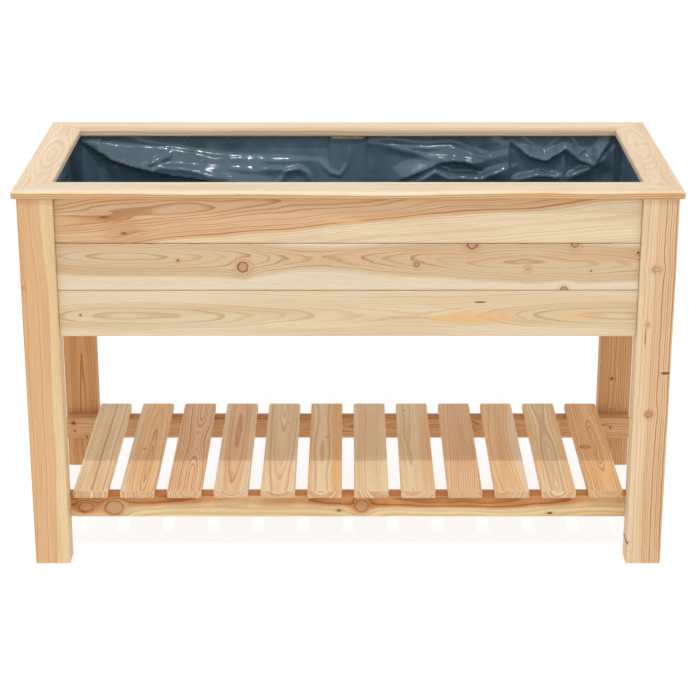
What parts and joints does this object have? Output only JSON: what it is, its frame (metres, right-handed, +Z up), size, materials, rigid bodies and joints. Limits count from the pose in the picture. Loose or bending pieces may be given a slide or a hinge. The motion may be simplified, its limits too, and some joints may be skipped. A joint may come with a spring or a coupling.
{
  "type": "raised planter",
  "caption": "Rectangular softwood trough raised on legs, with a mitred rim, a film liner and a slatted shelf below.",
  "frame": {"origin": "on the floor under the middle of the planter", "axes": "+X along the length to the right as seen from the front, +Y to the back, +Z up"},
  "size_m": [1.25, 0.542, 0.7663],
  "materials": {
    "leg_wood": "planed softwood, satin",
    "wall_wood": "planed softwood with knots, satin",
    "rim_wood": "planed softwood, satin",
    "rail_wood": "planed softwood with knots, satin",
    "slat_wood": "planed softwood, satin",
    "inner_wood": "sawn and planed softwood, matte",
    "liner_film": "slate-grey polyethylene film, glossy, creased",
    "screw_steel": "zinc-plated steel"
  },
  "bodies": {
    "root": {"leg_front_left": "leg_wood", "leg_front_right": "leg_wood", "leg_back_left": "leg_wood", "leg_back_right": "leg_wood", "front_board_top": "wall_wood", "front_board_middle": "wall_wood", "front_board_bottom": "wall_wood", "back_board_top": "wall_wood", "back_board_middle": "wall_wood", "back_board_bottom": "wall_wood", "left_board_top": "wall_wood", "left_board_middle": "wall_wood", "left_board_bottom": "wall_wood", "right_board_top": "wall_wood", "right_board_middle": "wall_wood", "right_board_bottom": "wall_wood", "rim_front": "rim_wood", "rim_right": "rim_wood", "rim_back": "rim_wood", "rim_left": "rim_wood", "shelf_rail_front": "rail_wood", "shelf_rail_back": "rail_wood", "shelf_slat_1": "slat_wood", "shelf_slat_2": "slat_wood", "shelf_slat_3": "slat_wood", "shelf_slat_4": "slat_wood", "shelf_slat_5": "slat_wood", "shelf_slat_6": "slat_wood", "shelf_slat_7": "slat_wood", "shelf_slat_8": "slat_wood", "shelf_slat_9": "slat_wood", "shelf_slat_10": "slat_wood", "shelf_slat_11": "slat_wood", "shelf_slat_12": "slat_wood", "batten_front": "inner_wood", "batten_back": "inner_wood", "corner_cleat_front_left": "inner_wood", "corner_cleat_front_right": "inner_wood", "corner_cleat_back_left": "inner_wood", "corner_cleat_back_right": "inner_wood", "floor_bearer_front": "inner_wood", "floor_bearer_back": "inner_wood", "floor_bearer_left": "inner_wood", "floor_bearer_right": "inner_wood", "floor_board_1": "inner_wood", "floor_board_2": "inner_wood", "floor_board_3": "inner_wood", "floor_board_4": "inner_wood", "floor_board_5": "inner_wood", "floor_board_6": "inner_wood", "floor_board_7": "inner_wood", "floor_board_8": "inner_wood", "floor_board_9": "inner_wood", "floor_board_end_left": "inner_wood", "floor_board_end_right": "inner_wood", "liner": "liner_film", "rail_screw_front_left": "screw_steel", "rail_screw_front_right": "screw_steel", "rail_screw_back_left": "screw_steel", "rail_screw_back_right": "screw_steel"}
  },
  "joints": []
}
